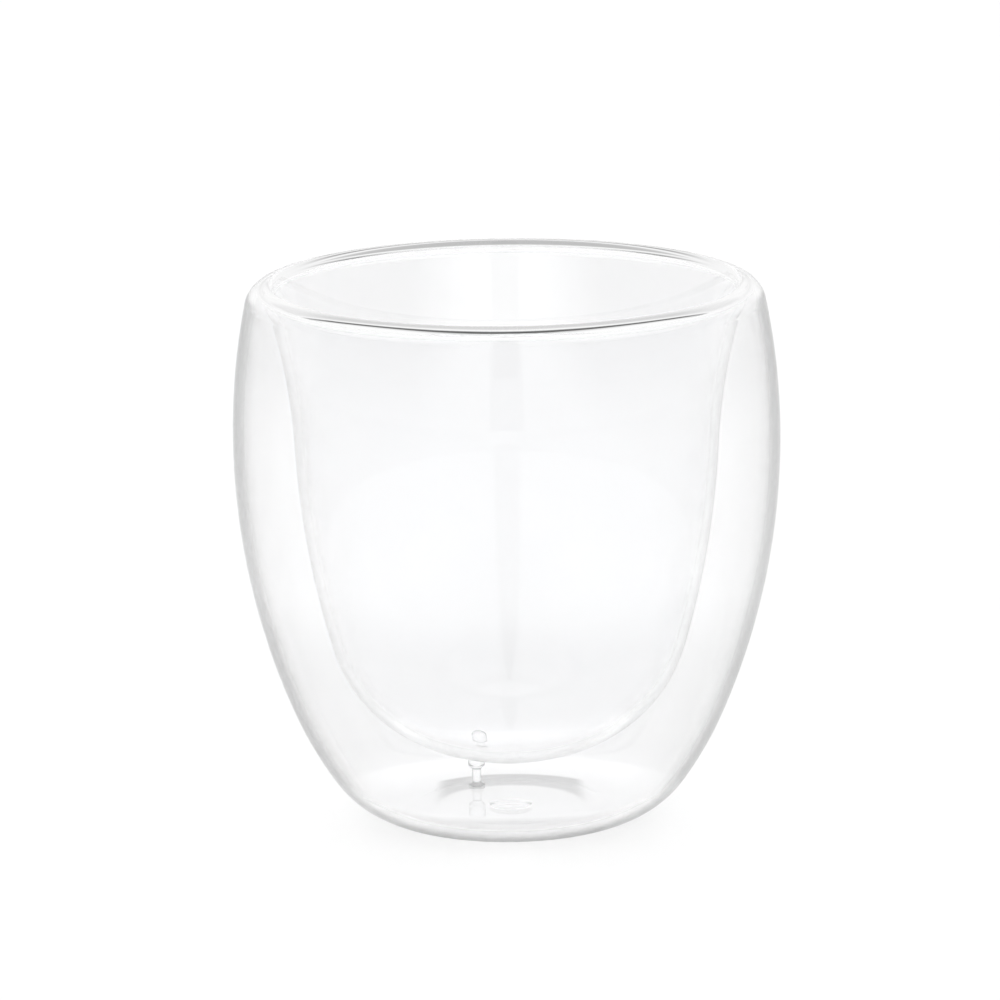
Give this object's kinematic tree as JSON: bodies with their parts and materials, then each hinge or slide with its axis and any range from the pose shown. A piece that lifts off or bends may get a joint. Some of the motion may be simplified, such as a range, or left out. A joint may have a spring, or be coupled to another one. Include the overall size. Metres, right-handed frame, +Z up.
{
  "type": "double walled glass cup",
  "caption": "Handleless clear glass cup with a rounded outer shell and an inner bowl, fused at the rim round a sealed layer of air.",
  "frame": {"origin": "on the cup's axis, in the plane of the flat face that it stands on", "axes": "+Z up along the cup's axis, -Y towards the picture's camera, +X to the camera's right"},
  "size_m": [0.088, 0.088, 0.0881],
  "materials": {
    "shell_glass": "clear blown borosilicate glass, fire polished",
    "bowl_glass": "clear blown borosilicate glass, fire polished",
    "rim_glass": "clear glass melted smooth in the flame",
    "seal_glass": "clear glass bead drawn out in the flame"
  },
  "bodies": {
    "root": {"outer_shell": "shell_glass", "inner_bowl": "bowl_glass", "rim_bead": "rim_glass", "vent_seal": "seal_glass"}
  },
  "joints": []
}
